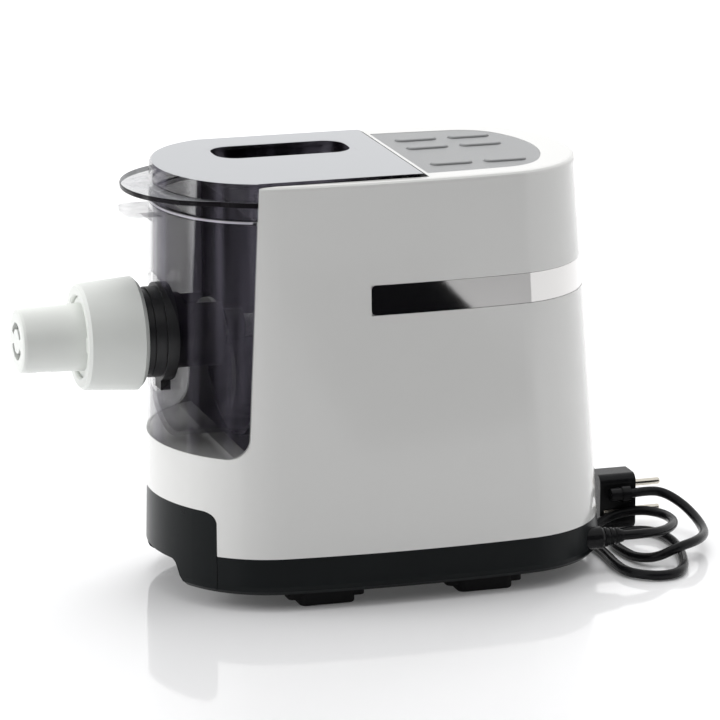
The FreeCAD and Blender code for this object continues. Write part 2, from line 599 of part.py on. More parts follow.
def make_lid():
    skirt_low = CHAMBER_RIM_Z + SLIDE_GAP
    lid = body_block(skirt_low, LID_TOP_Z, SEAM_GAP, 0.0, LID_ROUND).common(lid_keep())
    lid = lid.cut(body_block(skirt_low - 1, LID_TOP_Z - LID_SKIN, SEAM_GAP + LID_WALL).common(lid_keep(LID_WALL)))
    for sx in (-1, 1):
        x0 = sx * (LID_HALF_WIDTH + 1)
        bevel = prism([V(x0, BAY_EDGE_Y, LID_TOP_Z - 2.5), V(x0, BAY_EDGE_Y, LID_TOP_Z + 1),
                       V(x0 - sx * 3.5, BAY_EDGE_Y, LID_TOP_Z + 1)], V(0, 90 - BAY_EDGE_Y, 0))
        lid = lid.cut(bevel)
    inner = CHAMBER_RADIUS - CHAMBER_WALL
    collar = mid_box(inner, BAY_EDGE_Y - 8, CHAMBER_BACK_Y - CHAMBER_WALL, skirt_low, LID_TOP_Z - LID_SKIN + 0.5)
    collar = collar.cut(mid_box(inner - LID_WALL, -300, CHAMBER_BACK_Y - CHAMBER_WALL - LID_WALL,
                                skirt_low - 1, LID_TOP_Z))
    visor_y = front_at(VISOR_TOP_Z) - VISOR_REACH
    radius = (VISOR_DEPTH ** 2 + VISOR_HALF_WIDTH ** 2) / (2 * VISOR_DEPTH)
    visor = post(radius, 0, visor_y + radius, VISOR_TOP_Z - VISOR_THICK, VISOR_TOP_Z)
    visor = fillet_where(visor, 1.0, lambda e: e.Length > 50)
    visor = visor.common(mid_box(VISOR_HALF_WIDTH + 12, -250, visor_y + VISOR_DEPTH + 14, 0, 400))
    visor = visor.cut(body_block(skirt_low, LID_TOP_Z, SEAM_GAP + LID_WALL / 2))
    barrel = Part.makeCylinder(LID_BARREL_RADIUS, 2 * (LID_HALF_WIDTH - LID_CORNER), V(-LID_HALF_WIDTH + LID_CORNER,
                               LID_AXIS_Y, LID_AXIS_Z), V(1, 0, 0))
    lid = lid.fuse(collar).fuse(visor).fuse(barrel)
    back_cut = mid_box(120, LID_AXIS_Y, LID_BACK_Y + 5, LID_AXIS_Z - 10, LID_TOP_Z + 5)
    back_cut = back_cut.cut(Part.makeCylinder(LID_BARREL_RADIUS + 0.05, 240, V(-120, LID_AXIS_Y, LID_AXIS_Z), V(1, 0, 0)))
    lid = lid.cut(back_cut)
    slot_low = LID_TOP_Z - SLOT_DEPTH
    well = slot_block(LID_TOP_Z - LID_SKIN + 0.5, slot_low, LID_WALL)
    lid = lid.fuse(well).cut(slot_block(LID_TOP_Z + 1, slot_low - 1, 0.0))
    clear = HINGE_LUG_RADIUS + 0.4
    for sx in (-1, 1):
        x0 = sx * HINGE_LUG_X - HINGE_LUG_WIDTH / 2 - 0.4
        wide = HINGE_LUG_WIDTH + 0.8
        notch = Part.makeCylinder(clear, wide, V(x0, LID_AXIS_Y, LID_AXIS_Z), V(1, 0, 0))
        notch = notch.fuse(box(x0, x0 + wide, LID_AXIS_Y - clear, LID_BACK_Y + 5, LID_AXIS_Z - 20, LID_AXIS_Z))
        notch = notch.fuse(box(x0, x0 + wide, LID_AXIS_Y, LID_BACK_Y + 5, LID_AXIS_Z - 5, LID_AXIS_Z + clear))
        lid = lid.cut(notch)
    reach = HINGE_LUG_WIDTH / 2 + 6
    for sx in (-1, 1):
        lid = lid.cut(Part.makeCylinder(HINGE_PIN_RADIUS + RUN_GAP, 2 * reach + 1,
                                        V(sx * HINGE_LUG_X - reach - 0.5, LID_AXIS_Y, LID_AXIS_Z), V(1, 0, 0)))
    return lid


def slot_block(z_top, z_low, grow):
    """The pour slot: a long tapered well with slanted ends."""
    half = SLOT_HALF_WIDTH + grow

    def ring(z, drawn):
        x0, x1 = SLOT_X - half + drawn, SLOT_X + half - drawn
        y0, y1 = SLOT_FRONT_Y - grow + drawn, SLOT_BACK_Y + grow - drawn
        slant = 13.0
        return Part.makePolygon([V(x0, y0 + slant, z), V(x0 + slant * 0.7, y0, z), V(x1 - 3, y0, z), V(x1, y0 + 4, z),
                                 V(x1, y1 - 4, z), V(x1 - 3, y1, z), V(x0 + slant * 0.7, y1, z),
                                 V(x0, y1 - slant, z), V(x0, y0 + slant, z)])

    share = SLOT_FUNNEL / SLOT_DEPTH
    return Part.makeLoft([ring(z_low, SLOT_FUNNEL), ring(z_top, SLOT_FUNNEL - (z_top - z_low) * share)], True, True)


def make_panel():
    low = TOP_Z - PANEL_RECESS
    panel = panel_block(low, low + PANEL_THICK)
    panel = fillet_where(panel, 3.0, lambda e: abs(e.CenterOfMass.y - PANEL_FRONT_Y) < 0.1 and e.BoundBox.ZLength > 0.5
                         and e.BoundBox.XLength < 0.1)
    for x, y in button_places():
        panel = panel.cut(pill(x, y, low - 1, TOP_Z + 5, SEAM_GAP))
    return panel


def make_button(x, y):
    plate_low = TOP_Z - SHELL_WALL
    top = TOP_Z - PANEL_RECESS + PANEL_THICK + BUTTON_PROUD
    cap = pill(x, y, plate_low - SEAM_GAP - BUTTON_FLANGE_THICK, top)
    cap = fillet_where(cap, 1.2, at_height(top))
    flange = pill(x, y, plate_low - SEAM_GAP - BUTTON_FLANGE_THICK, plate_low - SEAM_GAP, BUTTON_FLANGE)
    switch_top = BOARD_Z + BOARD_THICK + SWITCH_HEIGHT
    stem = box(x - BUTTON_STEM / 2, x + BUTTON_STEM / 2, y - BUTTON_STEM / 2, y + BUTTON_STEM / 2,
               switch_top + BUTTON_TRAVEL + 0.05, plate_low - SEAM_GAP)
    return cap.fuse(flange).fuse(stem).removeSplitter()


def make_control_board():
    board = mid_box(55, 22, 96, BOARD_Z, BOARD_Z + BOARD_THICK)
    for x, y in button_places():
        board = board.fuse(box(x - 3, x + 3, y - 3, y + 3, BOARD_Z + BOARD_THICK - 0.2,
                               BOARD_Z + BOARD_THICK + SWITCH_HEIGHT))
    board = board.fuse(box(8, 26, 50, 66, BOARD_Z - 4, BOARD_Z + 0.2))
    return board


def make_band():
    band = body_block(BAND_LOW_Z, BAND_HIGH_Z, BAND_RECESS)
    band = band.cut(body_block(BAND_LOW_Z - 2, BAND_HIGH_Z + 2, BAND_RECESS + BAND_THICK))
    cutter = mid_box(120, BAND_FRONT_Y, 200, BAND_LOW_Z, BAND_HIGH_Z)
    cutter = fillet_where(cutter, BAND_CORNER, lambda e: abs(e.CenterOfMass.y - BAND_FRONT_Y) < 0.1
                          and e.BoundBox.XLength > 5)
    return band.common(cutter)


def sector(radius, inner, y0, y1, angle, wide):
    """A piece of a ring about the drive axis, centred on an angle from +X."""
    ring = Part.makeCylinder(radius, y1 - y0, V(0, y0, AXIS_Z), V(0, 1, 0), wide)
    ring = ring.cut(rod(inner, y0 - 1, y1 + 1))
    ring.rotate(V(0, 0, AXIS_Z), V(0, 1, 0), angle - wide / 2)
    return ring


FLANGE_BACK_Y = CHAMBER_FRONT_Y - SEAM_GAP
FLANGE_FRONT_Y = FLANGE_BACK_Y - FLANGE_THICK
STEP_FRONT_Y = FLANGE_FRONT_Y - STEP_THICK
NECK_LUG_Y = RING_BACK_Y - 10.0


def make_barrel():
    barrel = rod(BARREL_RADIUS, CHAMBER_FRONT_Y - 1, BARREL_BACK_Y)
    barrel = barrel.fuse(rod(FLANGE_RADIUS, FLANGE_FRONT_Y, CHAMBER_FRONT_Y))
    barrel = barrel.fuse(rod(STEP_RADIUS, STEP_FRONT_Y, FLANGE_FRONT_Y + 1))
    barrel = barrel.fuse(rod(NECK_RADIUS, NECK_FRONT_Y, STEP_FRONT_Y + 1))
    for i in range(LUG_COUNT):
        barrel = barrel.fuse(sector(NECK_LUG_RADIUS, NECK_RADIUS - 2, NECK_LUG_Y - LUG_THICK, NECK_LUG_Y,
                                    90 + i * 360 / LUG_COUNT, LUG_ANGLE))
    barrel = barrel.fuse(mid_box(7, FLANGE_FRONT_Y + 1, CHAMBER_FRONT_Y, AXIS_Z - 38.5, AXIS_Z - FLANGE_RADIUS + 4))
    barrel = barrel.cut(rod(BARREL_BORE, NECK_FRONT_Y - 1, BARREL_BACK_Y + 1))
    feed = mid_box(14, CHAMBER_FRONT_Y + 8, BARREL_BACK_Y + 1, AXIS_Z, AXIS_Z + 40)
    return barrel.cut(feed)


def make_ring_nut():
    inner_y = RING_FRONT_Y + RING_LIP_THICK
    ring = spin([(RING_BACK_Y, RING_BORE), (RING_BACK_Y, RING_BACK_RADIUS - 3), (RING_BACK_Y - 3, RING_BACK_RADIUS),
                 (RING_FRONT_Y + 2, RING_FRONT_RADIUS + 0.3), (RING_FRONT_Y, RING_FRONT_RADIUS - 1.6),
                 (RING_FRONT_Y, RING_LIP + 1), (RING_FRONT_Y + 1, RING_LIP), (inner_y, RING_LIP), (inner_y, RING_BORE)])
    for i in range(LUG_COUNT):
        ring = ring.fuse(sector(RING_BORE + 1, NECK_RADIUS + SEAM_GAP, NECK_LUG_Y + SEAM_GAP,
                                NECK_LUG_Y + SEAM_GAP + LUG_THICK, 90 + i * 360 / LUG_COUNT, LUG_ANGLE))
    return ring


def make_die():
    flange_front = NECK_FRONT_Y - DIE_FLANGE_THICK
    die = rod(DIE_FLANGE_RADIUS, flange_front, NECK_FRONT_Y)
    die = die.fuse(rod(RING_LIP - 0.6, RING_FRONT_Y + 2.5, flange_front + 1))
    nose = spin([(flange_front + 1, 0), (flange_front + 1, DIE_ROOT_RADIUS), (DIE_TIP_Y + 2.5, DIE_TIP_RADIUS),
                 (DIE_TIP_Y + 0.8, DIE_TIP_RADIUS - 0.7), (DIE_TIP_Y, DIE_TIP_RADIUS - 2.5), (DIE_TIP_Y, 0)])
    die = die.fuse(nose)
    bore = spin([(NECK_FRONT_Y + 1, 0), (NECK_FRONT_Y + 1, DIE_ROOT_RADIUS - DIE_WALL),
                 (DIE_TIP_Y + DIE_END, DIE_TIP_RADIUS - DIE_WALL), (DIE_TIP_Y + DIE_END, 0)])
    die = die.cut(bore)
    for angle in (0, 180):
        die = die.cut(sector(12.5, 8.0, DIE_TIP_Y - 1, DIE_TIP_Y + DIE_END + 1, angle, 140))
    die = die.cut(mid_box(9, DIE_TIP_Y + 12, DIE_TIP_Y + 22, AXIS_Z - 30, AXIS_Z - 12))
    for angle in (90, 270):
        die = die.fuse(sector(RING_LIP - 0.7, DIE_ROOT_RADIUS - 1, RING_FRONT_Y + 0.5, RING_FRONT_Y + 3, angle, 24))
    return die


def make_auger():
    core = rod(AUGER_ROOT, AUGER_FRONT_Y, CHAMBER_BACK_Y)
    core = core.fuse(rod(AUGER_HUB_RADIUS, CHAMBER_BACK_Y - 14, CHAMBER_BACK_Y))
    length = AUGER_PITCH * AUGER_TURNS
    helix = Part.makeHelix(AUGER_PITCH, length, AUGER_RADIUS - 6)
    inner, outer = AUGER_ROOT - 1.5, AUGER_RADIUS
    half = FLIGHT_THICK / 2
    profile = Part.makePolygon([V(inner, 0, -half - 1.2), V(outer, 0, -half), V(outer, 0, half),
                                V(inner, 0, half + 1.2), V(inner, 0, -half - 1.2)])
    flight = Part.Wire(helix).makePipeShell([profile], True, True)
    flight.rotate(V(0, 0, 0), V(1, 0, 0), 90)
    flight.translate(V(0, AUGER_FRONT_Y + length + half + 1.4, AXIS_Z))
    auger = core.fuse(flight)
    auger = auger.common(rod(AUGER_RADIUS + 2, AUGER_FRONT_Y, CHAMBER_BACK_Y))
    return auger.cut(hex_rod(SOCKET_HEX, CHAMBER_BACK_Y - 13, CHAMBER_BACK_Y + 1))


def hex_rod(across, y0, y1):
    radius = across / 2 / math.cos(math.pi / 6)
    points = [V(radius * math.cos(math.pi / 3 * i), y0, AXIS_Z + radius * math.sin(math.pi / 3 * i)) for i in range(6)]
    return prism(points, V(0, y1 - y0, 0))


def make_paddle():
    """Hub, two curved arms and the bar that sweeps the bottom of the chamber."""
    bar_z = AXIS_Z - PADDLE_REACH
    hub = tube(PADDLE_HUB_RADIUS, AUGER_ROOT + FIT_GAP, PADDLE_FRONT_Y - PADDLE_THICK, PADDLE_FRONT_Y + PADDLE_THICK)
    back_hub = tube(PADDLE_HUB_RADIUS, AUGER_ROOT + FIT_GAP, PADDLE_BACK_Y - PADDLE_THICK, PADDLE_BACK_Y + PADDLE_THICK)
    bar = rod(PADDLE_BAR_RADIUS, PADDLE_FRONT_Y - PADDLE_THICK, PADDLE_BACK_Y + PADDLE_THICK, 0, bar_z)
    arms = []
    for y in (PADDLE_FRONT_Y, PADDLE_BACK_Y):
        mid_z = (AXIS_Z + bar_z) / 2
        outer = Part.Arc(V(8, y, AXIS_Z - 7), V(20, y, mid_z), V(3, y, bar_z)).toShape()
        inner = Part.Arc(V(-3, y, bar_z), V(10, y, mid_z), V(0, y, AXIS_Z - 10)).toShape()
        wire = Part.Wire([outer, Part.makeLine(V(3, y, bar_z), V(-3, y, bar_z)), inner,
                          Part.makeLine(V(0, y, AXIS_Z - 10), V(8, y, AXIS_Z - 7))])
        arm = Part.Face(wire).extrude(V(0, PADDLE_THICK, 0))
        arm.translate(V(0, -PADDLE_THICK / 2, 0))
        arms.append(arm)
    paddle = hub.fuse(back_hub).fuse(bar)
    for arm in arms:
        paddle = paddle.fuse(arm)
    return paddle.cut(rod(AUGER_ROOT + FIT_GAP, -200, 100))


def gear_outline(teeth, y, x, z, turn):
    """Involute teeth as short straight flanks; turn is the angle of one tooth's middle, in radians."""
    pitch_r = GEAR_MODULE * teeth / 2
    base_r = pitch_r * math.cos(math.radians(PRESSURE_ANGLE))
    tip_r = pitch_r + GEAR_MODULE * 0.95
    root_r = pitch_r - GEAR_MODULE * 1.25
    pressure = math.radians(PRESSURE_ANGLE)
    half_tooth = math.pi / (2 * teeth) - TOOTH_BACKLASH / 2 / pitch_r
    at_pitch = math.tan(pressure) - pressure

    def half_angle(radius):
        if radius <= base_r:
            return half_tooth + at_pitch
        local = math.acos(base_r / radius)
        return half_tooth + at_pitch - (math.tan(local) - local)

    low_r = max(base_r, root_r + 0.3)
    radii = [root_r, low_r, pitch_r, tip_r]
    points = []
    for i in range(teeth):
        middle = turn + 2 * math.pi * i / teeth
        for r in radii:
            a = middle - half_angle(r)
            points.append(V(x + r * math.cos(a), y, z + r * math.sin(a)))
        for r in reversed(radii):
            a = middle + half_angle(r)
            points.append(V(x + r * math.cos(a), y, z + r * math.sin(a)))
    return points


def make_gear(teeth, y, x, z, turn):
    return prism(gear_outline(teeth, y, x, z, turn), V(0, GEAR_WIDTH, 0))


CENTRE_DISTANCE = GEAR_MODULE * (PINION_TEETH + WHEEL_TEETH) / 2
MOTOR_Z = AXIS_Z - MOTOR_DROP
LAY_Z = AXIS_Z - MOTOR_DROP / 2
LAY_X = math.sqrt(CENTRE_DISTANCE ** 2 - (MOTOR_DROP / 2) ** 2)
CASE_BACK_Y = CASE_FRONT_Y + CASE_DEPTH


def mesh_turn(teeth, own, other, other_teeth, other_turn):
    """The turn that puts a gear's tooth space on the other gear's tooth at the line of centres."""
    towards = math.atan2(other[1] - own[1], other[0] - own[0])
    back = towards + math.pi
    phase = (back - other_turn) / (2 * math.pi / other_teeth)
    phase -= math.floor(phase)
    return towards + math.pi / teeth + phase * 2 * math.pi / teeth


def bush(x, z, y):
    return tube(BUSH_RADIUS, SHAFT_RADIUS + RUN_GAP, y, y + CASE_PLATE, x, z)


def shaft_places():
    return ((0.0, AXIS_Z), (LAY_X, LAY_Z), (0.0, MOTOR_Z))


def case_lobes(y0, y1, shrink):
    wheel = GEAR_MODULE * WHEEL_TEETH / 2 + 5.0 - shrink
    lobes = rod(wheel, y0, y1, 0, AXIS_Z).fuse(rod(wheel, y0, y1, LAY_X, LAY_Z))
    return lobes.fuse(rod(24.0 - shrink, y0, y1, 0, MOTOR_Z)).removeSplitter()


def make_gear_case():
    case = case_lobes(CASE_FRONT_Y, CASE_BACK_Y - FIT_GAP, 0)
    case = case.cut(case_lobes(CASE_FRONT_Y + CASE_PLATE, CASE_BACK_Y + 1, CASE_WALL))
    for x, z in shaft_places():
        case = case.cut(rod(BUSH_RADIUS, CASE_FRONT_Y - 1, CASE_FRONT_Y + CASE_PLATE + 1, x, z))
    return case


def make_gear_cover():
    cover = case_lobes(CASE_BACK_Y, CASE_BACK_Y + CASE_PLATE, 0)
    cover = cover.fuse(rod(MOTOR_RADIUS, CASE_BACK_Y, CASE_BACK_Y + CASE_PLATE, 0, MOTOR_Z)).removeSplitter()
    for x, z in shaft_places():
        cover = cover.cut(rod(BUSH_RADIUS, CASE_BACK_Y - 1, CASE_BACK_Y + CASE_PLATE + 1, x, z))
    return cover


def make_bushes():
    return Part.makeCompound([bush(x, z, y) for x, z in shaft_places() for y in (CASE_FRONT_Y, CASE_BACK_Y)])


OUTPUT_TURN = math.pi / 2
LAY_PINION_TURN = mesh_turn(PINION_TEETH, (LAY_X, LAY_Z), (0.0, AXIS_Z), WHEEL_TEETH, OUTPUT_TURN)
LAY_WHEEL_TURN = LAY_PINION_TURN
MOTOR_TURN = mesh_turn(PINION_TEETH, (0.0, MOTOR_Z), (LAY_X, LAY_Z), WHEEL_TEETH, LAY_WHEEL_TURN)


def make_output_shaft():
    shaft = rod(SHAFT_RADIUS, CASE_FRONT_Y - 2, CASE_BACK_Y + CASE_PLATE)
    return shaft.fuse(hex_rod(DRIVE_HEX, -4, CASE_FRONT_Y - 2))


def make_output_gear():
    gear = make_gear(WHEEL_TEETH, STAGE_TWO_Y, 0, AXIS_Z, OUTPUT_TURN)
    gear = gear.fuse(rod(SHAFT_RADIUS + 5, STAGE_TWO_Y - 3, STAGE_TWO_Y + GEAR_WIDTH - 1))
    for i in range(6):
        a = math.pi / 3 * i
        gear = gear.cut(rod(9.0, STAGE_TWO_Y - 1, STAGE_TWO_Y + GEAR_WIDTH + 1, 27 * math.cos(a),
                            AXIS_Z + 27 * math.sin(a)))
    return gear.cut(rod(SHAFT_RADIUS, STAGE_TWO_Y - 5, STAGE_TWO_Y + 20))


def make_lay_shaft():
    shaft = rod(SHAFT_RADIUS, CASE_FRONT_Y, CASE_BACK_Y + CASE_PLATE, LAY_X, LAY_Z)
    pinion = make_gear(PINION_TEETH, STAGE_TWO_Y, LAY_X, LAY_Z, LAY_PINION_TURN)
    return shaft.fuse(pinion)


def make_lay_gear():
    gear = make_gear(WHEEL_TEETH, STAGE_ONE_Y, LAY_X, LAY_Z, LAY_WHEEL_TURN)
    for i in range(6):
        a = math.pi / 3 * i
        gear = gear.cut(rod(9.0, STAGE_ONE_Y - 1, STAGE_ONE_Y + GEAR_WIDTH + 1, LAY_X + 27 * math.cos(a),
                            LAY_Z + 27 * math.sin(a)))
    return gear.cut(rod(SHAFT_RADIUS, STAGE_ONE_Y - 5, STAGE_ONE_Y + 20, LAY_X, LAY_Z))


MOTOR_FRONT_Y = CASE_BACK_Y + CASE_PLATE
MOTOR_BACK_Y = MOTOR_FRONT_Y + MOTOR_LENGTH


def make_motor():
    can = rod(MOTOR_RADIUS, MOTOR_FRONT_Y, MOTOR_BACK_Y, 0, MOTOR_Z)
    can = can.cut(tube(MOTOR_RADIUS + 1, MOTOR_RADIUS - 3, MOTOR_FRONT_Y + 16, MOTOR_BACK_Y - 16, 0, MOTOR_Z))
    can = can.cut(rod(SHAFT_RADIUS + 3, MOTOR_FRONT_Y - 1, MOTOR_BACK_Y + 1, 0, MOTOR_Z))
    ring = tube(SHAFT_RADIUS + 3.5, SHAFT_RADIUS + RUN_GAP, MOTOR_BACK_Y - 6, MOTOR_BACK_Y, 0, MOTOR_Z)
    return can.fuse(ring)


def make_motor_shaft():
    shaft = rod(SHAFT_RADIUS, CASE_FRONT_Y, MOTOR_BACK_Y + FAN_THICK + 4, 0, MOTOR_Z)
    pinion = make_gear(PINION_TEETH, STAGE_ONE_Y, 0, MOTOR_Z, MOTOR_TURN)
    return shaft.fuse(pinion)


def make_fan():
    y0 = MOTOR_BACK_Y + 2
    fan = rod(SHAFT_RADIUS + 4, y0, y0 + FAN_THICK, 0, MOTOR_Z)
    blade = box(SHAFT_RADIUS + 2, FAN_RADIUS, y0 + 1, y0 + FAN_THICK, MOTOR_Z - 0.8, MOTOR_Z + 0.8)
    for i in range(FAN_BLADES):
        copy = blade.copy()
        copy.rotate(V(0, y0, MOTOR_Z), V(0, 1, 0), 360 / FAN_BLADES * i)
        fan = fan.fuse(copy)
    fan = fan.fuse(rod(FAN_RADIUS - 6, y0, y0 + 1.5, 0, MOTOR_Z))
    return fan.cut(rod(SHAFT_RADIUS, y0 - 5, y0 + 20, 0, MOTOR_Z))


def make_power_board():
    x = -62.0
    floor_top = UNDERSIDE_Z + BASE_FLOOR
    board = box(x, x + 1.6, 40, 100, floor_top, 104)
    board = board.fuse(box(x + 1.4, x + 17, 50, 68, 70, 96))
    board = board.fuse(Part.makeCylinder(8, 14, V(x + 1.4, 82, 86), V(1, 0, 0)))
    return board.fuse(box(x + 1.4, x + 13, 72, 94, 46, 62))


def make_lid_switch():
    """Small switch that the closed lid holds down, on the bay wall."""
    y0 = CASE_FRONT_Y
    top = CHAMBER_RIM_Z + 2.5
    body = box(-30, -12, y0, y0 + 8, top - 12, top)
    return body.fuse(box(-24, -18, y0 + 2, y0 + 4, top - 1, top + 2))


def make_screws():
    screws = []
    for x, y in screw_places():
        head = post(BASE_SCREW_RADIUS, x, y, UNDERSIDE_Z + 6, UNDERSIDE_Z + 9)
        head = head.cut(box(x - 2.4, x + 2.4, y - 0.5, y + 0.5, UNDERSIDE_Z + 5, UNDERSIDE_Z + 7))
        screws.append(head.fuse(post(1.6, x, y, UNDERSIDE_Z + 8, SPLIT_Z + 8)))
    return Part.makeCompound(screws)


def make_gland():
    """Strain relief: a collar in the back wall and a tapered sleeve."""
    x, y, z = CORD_EXIT
    wall_y = GLAND_BACK_Y
    profile = [(wall_y - 15, 0), (wall_y - 15, GLAND_RADIUS), (wall_y + 3, GLAND_RADIUS),
               (wall_y + 5, GLAND_RADIUS - 1.2), (y, CORD_DIAMETER / 2 + 0.8), (y, 0)]
    points = [V(x, py, z + r) for py, r in profile]
    face = Part.Face(Part.makePolygon(points + [points[0]]))
    return face.revolve(V(x, 0, z), V(0, 1, 0), 360)


def cord_path(points):
    """Straight runs joined by tangent arcs; returns the wire, its length and the radii."""
    pts = [V(*p) for p in points]
    edges = []
    radii = []
    start = pts[0]
    for before, here, after in zip(pts, pts[1:], pts[2:]):
        a = (before - here).normalize()
        b = (after - here).normalize()
        turn = math.pi - a.getAngle(b)
        cut = 0.45 * min((before - here).Length, (after - here).Length)
        radius = cut / math.tan(turn / 2)
        radii.append(radius)
        p, q = here + a * cut, here + b * cut
        bisect = (a + b).normalize()
        centre = here + bisect * (radius / math.cos(turn / 2))
        middle = centre - bisect * radius
        edges.append(Part.LineSegment(start, p).toShape())
        edges.append(Part.Arc(p, middle, q).toShape())
        start = q
    edges.append(Part.LineSegment(start, pts[-1]).toShape())
    return Part.Wire(edges), radii


def make_cord():
    wire, radii = cord_path(CORD_POINTS)
    first = (V(*CORD_POINTS[1]) - V(*CORD_POINTS[0])).normalize()
    circle = Part.Wire(Part.makeCircle(CORD_DIAMETER / 2, V(*CORD_POINTS[0]), first))
    cord = wire.makePipeShell([circle], True, False)
    section = math.pi * CORD_DIAMETER ** 2 / 4
    print("cord length %.1f, tube volume over section times length %.4f" % (wire.Length, cord.Volume / section / wire.Length))
    print("cord radii", " ".join("%.0f" % r for r in radii))
    return cord


def make_plug():
    """Angled plug on its edge: a round-cornered body, the pins' face towards the back."""
    x, y, z = CORD_POINTS[-1]
    y0 = 173.0
    half = 13.0
    body = box(PLUG_X - half, PLUG_X + half, y0, y0 + 26, 0, 39)
    body = fillet_where(body, 6.0, lambda e: e.BoundBox.YLength > 20)
    collar = Part.makeCylinder(5.6, 6, V(x, y, z), V(0, -1, 0))
    neck = Part.makeCylinder(4.6, 14, V(x, y, z), V(0, -1, 0))
    return body.fuse(collar).fuse(neck)


def make_plug_pins():
    pins = []
    for z in (10.0, 29.0):
        pin = Part.makeCylinder(2.4, 22, V(PLUG_X, 199.0, z), V(0, 1, 0))
        pins.append(fillet_where(pin, 1.2, lambda e: abs(e.CenterOfMass.y - 221.0) < 0.1))
    return Part.makeCompound(pins)


save("housing", make_housing())
save("base", make_base())
save("feet", make_feet())
save("accessory_drawer", make_drawer())
save("mixing_chamber", make_chamber())
save("chamber_cover", make_cover())
save("bay_liner", make_bay_liner())
save("lid_hinge_pins", make_hinge_pins())
save("lid", make_lid())
save("control_panel", make_panel())
for number, place in enumerate(button_places(), 1):
    save("button_%d" % number, make_button(*place))
save("control_board", make_control_board())
save("trim_band", make_band())
save("extrusion_barrel", make_barrel())
save("ring_nut", make_ring_nut())
save("shaping_die", make_die())
save("auger", make_auger())
save("mixing_paddle", make_paddle())
save("gear_case", make_gear_case())
save("gear_cover", make_gear_cover())
save("shaft_bushes", make_bushes())
save("output_shaft", make_output_shaft())
save("output_gear", make_output_gear())
save("lay_shaft", make_lay_shaft())
save("lay_gear", make_lay_gear())
save("motor", make_motor())
save("motor_shaft", make_motor_shaft())
save("cooling_fan", make_fan())
save("power_board", make_power_board())
save("lid_switch", make_lid_switch())
save("base_screws", make_screws())
save("cord_gland", make_gland())
save("mains_cord", make_cord())
save("plug_body", make_plug())
save("plug_pins", make_plug_pins())
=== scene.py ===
import math

import bpy
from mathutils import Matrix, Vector


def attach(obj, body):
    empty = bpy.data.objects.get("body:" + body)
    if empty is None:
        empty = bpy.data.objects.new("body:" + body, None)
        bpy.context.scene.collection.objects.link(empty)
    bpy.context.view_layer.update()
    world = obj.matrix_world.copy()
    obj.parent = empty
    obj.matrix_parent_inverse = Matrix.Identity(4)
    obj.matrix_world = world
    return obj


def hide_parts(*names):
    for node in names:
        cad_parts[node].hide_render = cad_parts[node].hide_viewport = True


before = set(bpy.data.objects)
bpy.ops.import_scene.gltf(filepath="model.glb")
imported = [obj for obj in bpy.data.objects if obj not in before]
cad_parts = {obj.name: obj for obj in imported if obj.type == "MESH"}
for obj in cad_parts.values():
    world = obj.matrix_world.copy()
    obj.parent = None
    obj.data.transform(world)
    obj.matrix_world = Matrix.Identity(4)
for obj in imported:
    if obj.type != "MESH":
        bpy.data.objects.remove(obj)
bpy.context.view_layer.update()

# Row frame, in metres: +Z up, the nozzle towards -Y, and the side that the photograph shows towards +X.
MM = 0.001
ROW_Y = 44.35            # millimetres from the row's origin back to the middle of the body's plan


def place(x, y, z):
    """A point of the working drawing, in millimetres about the body's middle, in the row frame."""
    return Vector((x * MM, (y + ROW_Y) * MM, z * MM))


def look(thing, at, along):
    """Put a camera or a lamp at a point, looking along a direction."""
    thing.location = at
    thing.rotation_euler = along.to_track_quat("-Z", "Y").to_euler()


# Camera: a long lens from the photograph's side, a little towards the nozzle and a little above.
VIEW_AZIMUTH = math.radians(73.0)
VIEW_ELEVATION = math.radians(14.47)
VIEW_DISTANCE = 3.333
VIEW_TARGET = Vector((0.0, 0.03575, 0.14285))
VIEW_SENSOR = 36.0       # millimetres, as is the lens
VIEW_LENS = 250.0
VIEW_REACH = 50.0


def make_camera():
    data = bpy.data.cameras.new("camera")
    data.sensor_width = VIEW_SENSOR
    data.lens = VIEW_LENS
    data.clip_end = VIEW_REACH
    camera = bpy.data.objects.new("camera", data)
    bpy.context.collection.objects.link(camera)
    away = Vector((math.sin(VIEW_AZIMUTH) * math.cos(VIEW_ELEVATION),
                   -math.cos(VIEW_AZIMUTH) * math.cos(VIEW_ELEVATION), math.sin(VIEW_ELEVATION)))
    look(camera, VIEW_TARGET + away * VIEW_DISTANCE, -away)
    bpy.context.scene.camera = camera


make_camera()

# Mains lead, in millimetres of the working drawing: the solid tube's route, with its points moved by up to 10
# to lie as the photograph shows.
LEAD_ROUTE = [
    (58, 158, 23), (58, 173, 23), (50, 190, 21), (34, 203, 19.4), (15, 210.5, 17.4),
    (-5, 210, 16.6), (-22, 199, 15.6), (-29, 181, 11), (-19, 162, 5.4), (1, 154.6, 3.6),
    (18, 155, 3.6), (38, 154.6, 3.6), (58, 153, 3.6), (78, 154, 3.6), (92, 167, 3.6),
    (92, 184, 3.6), (78, 195, 3.6), (57, 202, 3.6), (36, 207, 3.6), (14, 209.5, 3.6),
    (-6, 206, 3.6), (-14, 193, 3.6), (-8, 176.5, 3.6), (11, 167.5, 3.6), (31, 168, 3.6),
    (49, 171.5, 3.6), (63, 181, 6.8), (65, 195, 13.4), (57, 211, 14.2), (42, 222, 12.6),
    (23, 230, 10.6), (3, 232, 13.6), (-15, 228, 19.5), (-27, 218, 25.5), (-27, 205, 27), (-25, 193, 26.5),
]
LEAD_DIAMETER = 6.6 * MM
LEAD_ROUNDNESS = 6       # facets of the tube's profile between two of its corners
LEAD_STEPS = 10          # pieces of line between two points of the route


